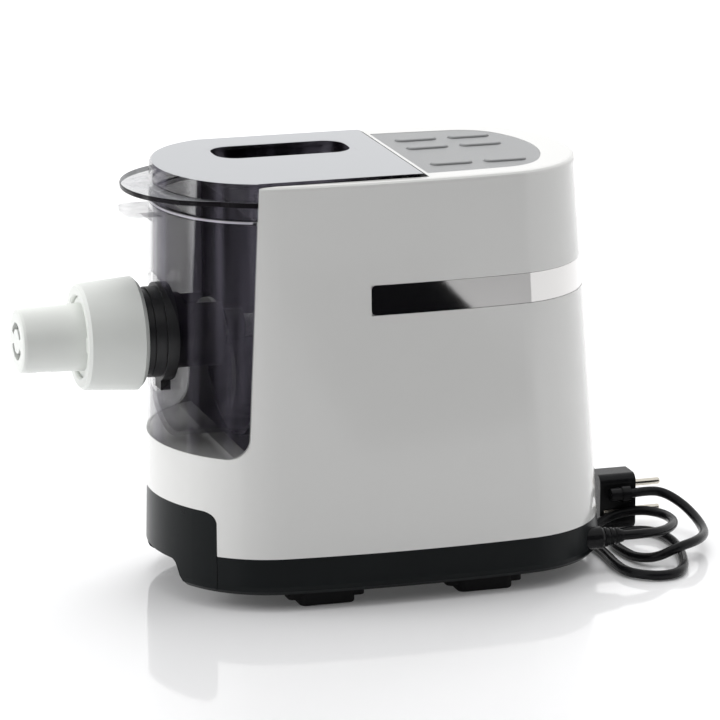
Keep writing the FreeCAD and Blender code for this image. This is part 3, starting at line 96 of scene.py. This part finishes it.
def make_lead():
    """The mains lead as one smooth NURBS line, with the tube's radius on its points to keep its bounds true."""
    data = bpy.data.curves.new("mains_lead", "CURVE")
    data.dimensions = "3D"
    data.bevel_depth = 1.0
    data.bevel_resolution = LEAD_ROUNDNESS
    data.resolution_u = LEAD_STEPS
    data.use_fill_caps = True
    line = data.splines.new("NURBS")
    line.points.add(len(LEAD_ROUTE) - 1)
    for point, at in zip(line.points, LEAD_ROUTE):
        point.co = (*place(*at), 1.0)
        point.radius = LEAD_DIAMETER / 2
    line.order_u = 3
    line.use_endpoint_u = True
    lead = bpy.data.objects.new("mains_lead", data)
    bpy.context.collection.objects.link(lead)
    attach(lead, "root")
    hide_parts("mains_cord")
    return lead


lead = make_lead()


def plug(tree, entry, value):
    """Give a socket a wire or a constant."""
    if isinstance(value, Wire):
        tree.links.new(value.socket, entry)
    else:
        entry.default_value = value


class Wire:
    """A shader socket that can be written in sums."""

    def __init__(self, tree, socket):
        self.tree = tree
        self.socket = socket

    def _join(self, operation, *others):
        step = self.tree.nodes.new("ShaderNodeMath")
        step.operation = operation
        for entry, value in zip(step.inputs, (self, *others)):
            plug(self.tree, entry, value)
        return Wire(self.tree, step.outputs[0])

    def __add__(self, other):
        return self._join("ADD", other)

    def __sub__(self, other):
        return self._join("SUBTRACT", other)

    def __mul__(self, other):
        return self._join("MULTIPLY", other)

    def above(self, level):
        return self._join("GREATER_THAN", level)

    def below(self, level):
        return self._join("LESS_THAN", level)

    def size(self):
        return self._join("ABSOLUTE")

    def clipped(self):
        step = self._join("ADD", 0.0)
        step.socket.node.use_clamp = True
        return step


class Finish:
    """A material built on one Principled shader that reads the piece's own coordinates."""

    # Sockets of the Mix node in its colour mode, which share their names.
    MIX_SHARE = 0
    MIX_COLOURS = (6, 7)
    MIX_RESULT = 2

    def __init__(self, name, colour, roughness, **constants):
        self.material = bpy.data.materials.new(name)
        self.material.use_nodes = True
        self.material.diffuse_color = (*colour, 1.0)
        self.tree = self.material.node_tree
        self.shader = self.tree.nodes["Principled BSDF"]
        self.set("Base Color", (*colour, 1.0))
        self.set("Roughness", roughness)
        for key, value in constants.items():
            self.set(key.replace("_", " "), value)
        self.spot = self.wire("ShaderNodeTexCoord", {}, "Object")

    def set(self, entry, value):
        plug(self.tree, self.shader.inputs[entry], value)

    def wire(self, kind, inputs, output=0):
        """One output of a new node, whose inputs are given by name."""
        made = self.tree.nodes.new(kind)
        for key, value in inputs.items():
            plug(self.tree, made.inputs[key], value)
        return Wire(self.tree, made.outputs[output])

    def noise(self, scale, detail=3.0, rough=0.55, stretch=(1, 1, 1)):
        at = self.wire("ShaderNodeMapping", {"Vector": self.spot, "Scale": stretch})
        return self.wire("ShaderNodeTexNoise",
                         {"Vector": at, "Scale": scale, "Detail": detail, "Roughness": rough})

    def height(self):
        return self.wire("ShaderNodeSeparateXYZ", {"Vector": self.spot}, "Z")

    def mix(self, share, first, second):
        made = self.tree.nodes.new("ShaderNodeMix")
        made.data_type = "RGBA"
        made.clamp_factor = True
        plug(self.tree, made.inputs[self.MIX_SHARE], share)
        for index, colour in zip(self.MIX_COLOURS, (first, second)):
            plug(self.tree, made.inputs[index], colour if isinstance(colour, Wire) else (*colour, 1.0))
        return Wire(self.tree, made.outputs[self.MIX_RESULT])

    def relief(self, height, depth, strength):
        """Bump of a real depth, in metres."""
        self.set("Normal", self.wire("ShaderNodeBump",
                                     {"Height": height, "Distance": depth, "Strength": strength}))


def surface(name, colour, roughness, tones, gloss, relief, **constants):
    """A finish whose colour, polish and bump each follow a field, which is given by the arguments of noise().

    tones is (field, first colour, second colour), gloss is (field, span, lowest roughness) and relief is
    (field, depth in metres, strength). Fields that are alike are made once."""
    f = Finish(name, colour, roughness, **constants)
    made = {field: f.noise(*field) for field in dict.fromkeys((relief[0], tones[0], gloss[0]))}
    field, first, second = tones
    f.set("Base Color", f.mix(made[field], first, second))
    field, span, lowest = gloss
    f.set("Roughness", made[field] * span + lowest)
    field, depth, strength = relief
    f.relief(made[field], depth, strength)
    return f.material


# High-gloss white moulding with the faint waviness of a large panel and fine handling marks.
SMEAR = (38.0, 4.0, 0.6, (1, 1, 0.35))
WHITE = surface("shell_white", (0.80, 0.80, 0.785), 0.12,
                tones=(SMEAR, (0.80, 0.80, 0.785), (0.796, 0.796, 0.781)), gloss=(SMEAR, 0.05, 0.10),
                relief=((9.0, 1.0, 0.4), 0.0006, 0.35),
                Specular_IOR_Level=0.5, Coat_Weight=0.35, Coat_Roughness=0.03)

# Satin black moulding, spark-eroded fine grain, polished a little where hands touch.
WORN = (22.0, 3.0, 0.5)
BLACK = surface("shell_black", (0.004, 0.0055, 0.006), 0.32,
                tones=(WORN, (0.0035, 0.005, 0.0055), (0.007, 0.009, 0.010)), gloss=(WORN, 0.10, 0.24),
                relief=((1900.0, 2.0, 0.5), 0.00004, 0.5), Specular_IOR_Level=0.14)

# Black inner mouldings, with the dull patches of dust.
DUST = (60.0, 4.0, 0.7)
INNER = surface("inner_black", (0.018, 0.018, 0.020), 0.45,
                tones=(DUST, (0.014, 0.014, 0.016), (0.026, 0.026, 0.028)), gloss=(DUST, 0.2, 0.35),
                relief=((1200.0, 2.0), 0.00005, 0.6), Specular_IOR_Level=0.45)

# Bright plated trim, faintly hazy.
HAZE = (14.0, 2.0)
TRIM = surface("bright_trim", (0.78, 0.77, 0.76), 0.08,
               tones=(HAZE, (0.80, 0.79, 0.78), (0.70, 0.69, 0.68)), gloss=((900.0, 2.0, 0.5), 0.03, 0.02),
               relief=(HAZE, 0.00005, 0.3), Metallic=1.0)

# Satin silver lacquer with fine metal flake.
FLAKE = (2600.0, 1.0, 0.4)
GREY = surface("panel_grey", (0.33, 0.335, 0.34), 0.40,
               tones=(FLAKE, (0.29, 0.295, 0.30), (0.38, 0.385, 0.39)), gloss=((30.0, 2.0), 0.10, 0.36),
               relief=(FLAKE, 0.00002, 0.4), Metallic=0.15, Specular_IOR_Level=0.25)

# Off-white acetal, satin, with a fine tooled face.
CAST = (26.0, 3.0)
SOFT_WHITE = surface("soft_white", (0.80, 0.82, 0.79), 0.38,
                     tones=(CAST, (0.79, 0.81, 0.78), (0.84, 0.86, 0.83)), gloss=(CAST, 0.12, 0.32),
                     relief=((1500.0, 2.0), 0.00004, 0.5), Specular_IOR_Level=0.45,
                     Subsurface_Weight=0.06, Subsurface_Radius=(0.004, 0.004, 0.004))

# Rubber with a grey bloom.
BLOOM = (70.0, 4.0, 0.7)
RUBBER = surface("foot_rubber", (0.008, 0.008, 0.009), 0.62,
                 tones=(BLOOM, (0.006, 0.006, 0.0065), (0.014, 0.014, 0.015)), gloss=(BLOOM, 0.2, 0.5),
                 relief=((900.0, 3.0), 0.00008, 0.7), Specular_IOR_Level=0.15)

# Unpigmented nylon.
FLOW = (45.0, 3.0)
NYLON = surface("nylon_natural", (0.72, 0.69, 0.58), 0.42,
                tones=(FLOW, (0.70, 0.67, 0.56), (0.76, 0.73, 0.63)), gloss=(FLOW, 0.15, 0.35),
                relief=(FLOW, 0.0001, 0.4))

# Steel with the fine rings of turning and grinding.
RING = (1400.0, 2.0, 0.5, (0.1, 1, 0.1))
STEEL = surface("ground_steel", (0.56, 0.56, 0.57), 0.25,
                tones=(RING, (0.50, 0.50, 0.51), (0.62, 0.62, 0.63)), gloss=(RING, 0.2, 0.16),
                relief=(RING, 0.00003, 0.5), Metallic=1.0)

# Zinc-plated sheet with its spangle.
SPANGLE = (120.0, 2.0, 0.6)
PLATED = surface("plated_sheet", (0.42, 0.43, 0.44), 0.36,
                 tones=(SPANGLE, (0.36, 0.37, 0.38), (0.50, 0.51, 0.52)), gloss=(SPANGLE, 0.25, 0.25),
                 relief=(SPANGLE, 0.00005, 0.3), Metallic=1.0)

# Sintered bronze, porous.
PORE = (1800.0, 2.0)
BRONZE = surface("bearing_bronze", (0.55, 0.36, 0.18), 0.40,
                 tones=(PORE, (0.42, 0.27, 0.13), (0.60, 0.40, 0.21)), gloss=(PORE, 0.2, 0.3),
                 relief=(PORE, 0.00005, 0.6), Metallic=1.0)

# Soft jacket of the mains lead and its plug.
SKIN = (420.0, 3.0)
LEAD = surface("lead_black", (0.006, 0.006, 0.007), 0.24,
               tones=(SKIN, (0.006, 0.006, 0.007), (0.014, 0.014, 0.015)), gloss=(SKIN, 0.12, 0.18),
               relief=(SKIN, 0.00008, 0.35), Specular_IOR_Level=0.14)

# Nickel-plated pins, rubbed lengthwise.
RUB = (900.0, 2.0, 0.5, (1, 0.05, 1))
PIN = surface("pin_nickel", (0.66, 0.62, 0.55), 0.18,
              tones=(RUB, (0.62, 0.58, 0.50), (0.72, 0.69, 0.62)), gloss=(RUB, 0.18, 0.1),
              relief=(RUB, 0.00002, 0.5), Metallic=1.0)


def board_green():
    """Lacquered circuit board with raised tracks."""
    f = Finish("board_green", (0.02, 0.14, 0.05), 0.28, Coat_Weight=0.4, Coat_Roughness=0.1)
    track = f.wire("ShaderNodeTexBrick", {"Vector": f.spot, "Scale": 90.0, "Mortar Size": 0.03}, "Fac")
    f.set("Base Color", f.mix(track, (0.015, 0.12, 0.045), (0.04, 0.22, 0.09)))
    f.set("Roughness", f.noise(500.0, 2.0) * 0.15 + 0.22)
    f.relief(track, 0.00004, 0.5)
    return f.material


BOARD = board_green()

# Smoked clear mouldings: how the upright streaks are cut out of a noise, and how much each part hides, from 0
# for clear to 1 for solid.
STREAK_START = 0.48
STREAK_CONTRAST = 9.0
STREAK_LILAC = (0.16, 0.15, 0.19)
STREAK_VEIL = 0.16
FLOW_VEIL = 0.06
RIM_VEIL = 0.6
LID_TOP_VEIL = 0.75
EDGE_VEIL = 0.65
VISOR_TOP_VEIL = 0.1

# Their heights and thicknesses where the look changes, in metres, and the tones there.
CHAMBER_RIM = 0.2595
RIM_LINE = 0.0007
LID_TOP = 0.28388        # just under the lid's flat top
VISOR_TOP = 0.2720
VISOR_UNDERSIDE = 0.2685
VISOR_SKIN = 0.0001
TOP_FACE_BAND = 0.00006
SKIRT_END = 0.2606
# Painted highlight: the pale tone of the line along the chamber's rim.
RIM_PAINTED_HIGHLIGHT = (0.62, 0.60, 0.66)
# Painted shade: the black of the lid's visor and skirt edges.
EDGE_PAINTED_SHADE = (0.004, 0.003, 0.005)
# Painted highlight: the pale tone of the lid's flat top and the visor's top.
TOP_PAINTED_HIGHLIGHT = (0.45, 0.46, 0.48)


def smoked_clear(name, tint, alpha):
    """A dark tint with upright lilac streaks and a polished face: gives the finish, its tone and its veil."""
    f = Finish(name, tint, 0.03, Specular_IOR_Level=0.12)
    flow = f.noise(16.0, 2.0, 0.5, (1, 1, 0.3))
    streak = f.noise(38.0, 2.0, 0.5, (1, 1, 0.04))
    band = ((streak - STREAK_START) * STREAK_CONTRAST).clipped()
    tone = f.mix(band, tint, STREAK_LILAC)
    veil = band * STREAK_VEIL + flow * FLOW_VEIL + (alpha - FLOW_VEIL / 2)
    f.set("Roughness", flow * 0.03 + 0.02)
    f.relief(flow, 0.0004, 0.2)
    return f, tone, veil


def chamber_smoke():
    """The chamber's wall, with a painted highlight line along its rim."""
    f, tone, veil = smoked_clear("smoked_clear", (0.006, 0.004, 0.009), 0.17)
    # Thin band at the rim's height, where the highlight is painted into the colour.
    rim = (f.height() - (CHAMBER_RIM - RIM_LINE)).size().below(RIM_LINE)
    f.set("Base Color", f.mix(rim, tone, RIM_PAINTED_HIGHLIGHT))
    f.set("Alpha", (veil + rim * RIM_VEIL).clipped())
    return f.material


def lid_smoke():
    """The lid: pale with a painted highlight where its thick flat top and the visor's top are seen from above,
    black with painted shade along the edges of visor and skirt.
    """
    f, tone, veil = smoked_clear("lid_smoked", (0.007, 0.005, 0.009), 0.30)
    height = f.height()
    # Masks by height: top and visor_top get the painted pale highlight, visor_edge and edge get the painted
    # black shade.
    top = height.above(LID_TOP)
    visor_top = (height - VISOR_TOP).size().below(TOP_FACE_BAND)
    visor_edge = height.above(VISOR_UNDERSIDE + VISOR_SKIN) * height.below(VISOR_TOP - VISOR_SKIN)
    edge = visor_edge + height.below(SKIRT_END)
    f.set("Base Color", f.mix(top + visor_top, f.mix(edge, tone, EDGE_PAINTED_SHADE), TOP_PAINTED_HIGHLIGHT))
    f.set("Alpha", (veil + top * LID_TOP_VEIL + edge * EDGE_VEIL + visor_top * VISOR_TOP_VEIL).clipped())
    return f.material


SMOKED = chamber_smoke()
LID_SMOKED = lid_smoke()

NODE_FINISH = {
    "housing": WHITE, "base": BLACK, "feet": RUBBER, "accessory_drawer": BLACK,
    "mixing_chamber": SMOKED, "chamber_cover": SMOKED, "bay_liner": INNER, "lid_hinge_pins": STEEL,
    "lid": LID_SMOKED, "control_panel": GREY, "control_board": BOARD, "trim_band": TRIM,
    "extrusion_barrel": INNER, "ring_nut": SOFT_WHITE, "shaping_die": SOFT_WHITE, "auger": SOFT_WHITE,
    "mixing_paddle": INNER, "gear_case": INNER, "gear_cover": PLATED, "shaft_bushes": BRONZE,
    "output_shaft": STEEL, "output_gear": NYLON, "lay_shaft": STEEL, "lay_gear": NYLON, "motor": PLATED,
    "motor_shaft": STEEL, "cooling_fan": INNER, "power_board": BOARD, "lid_switch": INNER,
    "base_screws": STEEL, "cord_gland": LEAD, "plug_body": LEAD, "plug_pins": PIN,
}
BUTTON_COUNT = 6
NODE_FINISH.update({"button_%d" % (n + 1): GREY for n in range(BUTTON_COUNT)})


def wear(piece, material):
    piece.data.materials.clear()
    piece.data.materials.append(material)


for node, material in NODE_FINISH.items():
    wear(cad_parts[node], material)
wear(lead, LEAD)

# Pieces modelled here.
WELD = 0.00002           # vertices nearer than this, in metres, are joined
SMOOTH_ANGLE = math.radians(35)


def begin(kind, **settings):
    """Start a piece from a primitive, with nothing else selected."""
    bpy.ops.object.select_all(action="DESELECT")
    getattr(bpy.ops.mesh, "primitive_%s_add" % kind)(**settings)
    return bpy.context.object


def stretch(piece, x, y, z):
    piece.scale = (x, y, z)
    bpy.ops.object.transform_apply(location=True, rotation=True, scale=True)


def select_all_parts():
    bpy.ops.object.mode_set(mode="EDIT")
    bpy.ops.mesh.select_all(action="SELECT")


def pick_faces(piece, wanted):
    """Select the faces whose middle wanted() accepts, and go into edit mode."""
    bpy.ops.object.mode_set(mode="EDIT")
    bpy.ops.mesh.select_mode(type="FACE")
    bpy.ops.mesh.select_all(action="DESELECT")
    bpy.ops.object.mode_set(mode="OBJECT")
    for face in piece.data.polygons:
        face.select = wanted(face.center)
    bpy.ops.object.mode_set(mode="EDIT")


def extrude(x, y, z):
    bpy.ops.mesh.extrude_region_move(TRANSFORM_OT_translate={"value": (x, y, z)})


def settle(piece, name, body, material):
    """Close the edit, put the origin at the row frame's and hand the piece to its body."""
    select_all_parts()
    bpy.ops.mesh.remove_doubles(threshold=WELD)
    bpy.ops.mesh.normals_make_consistent(inside=False)
    bpy.ops.object.mode_set(mode="OBJECT")
    bpy.ops.object.transform_apply(location=True, rotation=True, scale=True)
    bpy.ops.object.shade_smooth_by_angle(angle=SMOOTH_ANGLE)
    piece.name = name
    wear(piece, material)
    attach(piece, body)


# Ribbed sleeve over the lead where it leaves the back wall, in millimetres.
SLEEVE_START_Y = 139.6
SLEEVE_RIBS = 4
SLEEVE_RIB_STEP = 4.2
SLEEVE_ROOT_RADIUS = 6.6
SLEEVE_TIP_RADIUS = 4.6
SLEEVE_RIB_HEIGHT = 1.1
SLEEVE_SIDES = 40
# One rib after the other: each part's share of the step, and how high it ends above the root.
SLEEVE_PROFILE = ((0.15, SLEEVE_RIB_HEIGHT), (0.4, SLEEVE_RIB_HEIGHT), (0.15, 0.0), (0.3, 0.0))


def make_sleeve():
    x, _, z = LEAD_ROUTE[0]
    start = place(x, SLEEVE_START_Y, z)
    sleeve = begin("circle", vertices=SLEEVE_SIDES, radius=SLEEVE_ROOT_RADIUS * MM, fill_type="NGON",
                   location=start, rotation=(math.radians(90), 0, 0))
    select_all_parts()
    radius = SLEEVE_ROOT_RADIUS
    travelled = 0.0
    for rib in range(1, SLEEVE_RIBS + 1):
        root = SLEEVE_ROOT_RADIUS + (SLEEVE_TIP_RADIUS - SLEEVE_ROOT_RADIUS) * rib / SLEEVE_RIBS
        for share, rise in SLEEVE_PROFILE:
            step = share * SLEEVE_RIB_STEP * MM
            extrude(0, step, 0)
            travelled += step
            grow = (root + rise) / radius
            bpy.ops.transform.resize(value=(grow, 1, grow),
                                     center_override=start + Vector((0, travelled, 0)))
            radius = root + rise
    settle(sleeve, "lead_sleeve", "root", LEAD)


make_sleeve()

# Earth strip on the near side of the plug, pale metal with a raised middle, in millimetres.
PLUG_NEAR_X = -29.0
CLIP_Y = (175.5, 196.5)
CLIP_Z = (12.2, 15.2)
CLIP_THICK = 1.2
CLIP_PROUD = 0.9
CLIP_FRAME = 0.7
CLIP_RISE = 0.5
CLIP_ROUND = 0.2


def make_earth_clip():
    outer_x = PLUG_NEAR_X + CLIP_PROUD
    clip = begin("cube", size=1, location=place(outer_x - CLIP_THICK / 2, sum(CLIP_Y) / 2, sum(CLIP_Z) / 2))
    stretch(clip, CLIP_THICK * MM, (CLIP_Y[1] - CLIP_Y[0]) * MM, (CLIP_Z[1] - CLIP_Z[0]) * MM)
    pick_faces(clip, lambda middle: abs(middle.x - outer_x * MM) < WELD)
    bpy.ops.mesh.inset(thickness=CLIP_FRAME * MM)
    extrude(CLIP_RISE * MM, 0, 0)
    bpy.ops.mesh.select_all(action="SELECT")
    bpy.ops.mesh.bevel(offset=CLIP_ROUND * MM, segments=2, affect="EDGES")
    settle(clip, "plug_earth_clip", "root", PIN)


make_earth_clip()

# Rounded liner in the lid's pouring slot, in millimetres.
SLOT_MIDDLE = (-26.0, -56.0)
SLOT_HALF = (26.5, 53.5)
SLOT_ROUND = 22.0
SLOT_RIM = 7.5
SLOT_TOP_Z = 283.95
SLOT_LINER_DEPTH = 3.4
SLOT_EDGE = 0.3


def make_slot_liner():
    liner = begin("plane", size=2, location=place(*SLOT_MIDDLE, SLOT_TOP_Z - SLOT_LINER_DEPTH))
    stretch(liner, SLOT_HALF[0] * MM, SLOT_HALF[1] * MM, 1)
    select_all_parts()
    bpy.ops.mesh.bevel(offset=SLOT_ROUND * MM, segments=8, affect="VERTICES")
    bpy.ops.mesh.select_all(action="SELECT")
    bpy.ops.mesh.inset(thickness=SLOT_RIM * MM)
    bpy.ops.mesh.delete(type="FACE")
    bpy.ops.mesh.select_all(action="SELECT")
    extrude(0, 0, SLOT_LINER_DEPTH * MM)
    settle(liner, "slot_liner", "lid", LID_SMOKED)
    soften = liner.modifiers.new("soften", "BEVEL")
    soften.width = SLOT_EDGE * MM
    soften.segments = 2
    soften.limit_method = "ANGLE"
    bpy.ops.object.modifier_apply(modifier=soften.name)


make_slot_liner()

# Studio: a glossy pale sweep, a bright background, large soft lamps and two black cards out of the picture.
FLOOR_HALF = 6.0
FLOOR_WHITE = (0.99, 0.99, 1.0)
CARD_BLACK = (0.006, 0.006, 0.007)
WORLD_SEEN = 1.0        # the background's strength where it is seen, mirrored or looked at through the lid
WORLD_LIGHT = 0.60       # and where it only gives light

# Name, place, aim, width, height and power of each lamp.
LAMPS = (
    ("front_box", (-0.4, -2.2, 1.1), (0, 0, 0.15), 1.6, 1.4, 22.0),
    ("top_box", (-0.3, 0.3, 2.2), (0, 0.05, 0.1), 1.8, 1.8, 20.0),
    ("back_box", (-1.8, 1.2, 1.2), (0, 0.05, 0.15), 1.4, 1.4, 24.0),
)

# Name, middle, turn, width and height of each card: one shades the near side, and the dark half of the trim
# band mirrors the other.
CARDS = (
    ("dark_wall", (4.4, 0.0, 2.0), (0, math.radians(90), 0), 4.0, 8.0),
    ("dark_floor_card", (1.04, 0.335, 0.004), (0, 0, math.radians(-4)), 0.84, 0.47),
)


def make_stage_piece(name, colour, roughness, specular, glow, **settings):
    """A plane of the studio, in a plain finish."""
    piece = begin("plane", **settings)
    piece.name = name
    material = bpy.data.materials.new(name)
    material.use_nodes = True
    shader = material.node_tree.nodes["Principled BSDF"]
    shader.inputs["Base Color"].default_value = (*colour, 1)
    shader.inputs["Roughness"].default_value = roughness
    shader.inputs["Specular IOR Level"].default_value = specular
    shader.inputs["Emission Color"].default_value = (1, 1, 1, 1)
    shader.inputs["Emission Strength"].default_value = glow
    wear(piece, material)
    return piece


def make_world():
    world = bpy.data.worlds.new("studio")
    bpy.context.scene.world = world
    world.use_nodes = True
    tree = world.node_tree
    backdrop = tree.nodes["Background"]
    backdrop.inputs["Color"].default_value = (1, 1, 1, 1)
    rays = tree.nodes.new("ShaderNodeLightPath")
    camera_ray = Wire(tree, rays.outputs["Is Camera Ray"])
    glossy_ray = Wire(tree, rays.outputs["Is Glossy Ray"])
    through_ray = Wire(tree, rays.outputs["Is Transmission Ray"])
    seen = (camera_ray + glossy_ray + through_ray).above(0.5)
    plug(tree, backdrop.inputs["Strength"], seen * (WORLD_SEEN - WORLD_LIGHT) + WORLD_LIGHT)


def make_lamp(name, at, aim, width, height, power):
    """A soft rectangular lamp that glossy faces don't mirror."""
    data = bpy.data.lights.new(name, "AREA")
    data.shape = "RECTANGLE"
    data.size = width
    data.size_y = height
    data.energy = power
    lamp = bpy.data.objects.new(name, data)
    bpy.context.collection.objects.link(lamp)
    look(lamp, Vector(at), Vector(aim) - Vector(at))
    lamp.visible_glossy = False


make_stage_piece("studio_floor", FLOOR_WHITE, roughness=0.06, specular=0.5, glow=0.06,
                 size=2 * FLOOR_HALF, location=(0, 0, 0))
make_world()
for lamp in LAMPS:
    make_lamp(*lamp)
for name, middle, turn, width, height in CARDS:
    card = make_stage_piece(name, CARD_BLACK, roughness=0.9, specular=0.0, glow=0.0,
                            size=1, location=middle, rotation=turn)
    card.scale = (width, height, 1)
    card.visible_camera = False

bpy.context.scene.view_settings.view_transform = "Standard"

bpy.context.view_layer.update()
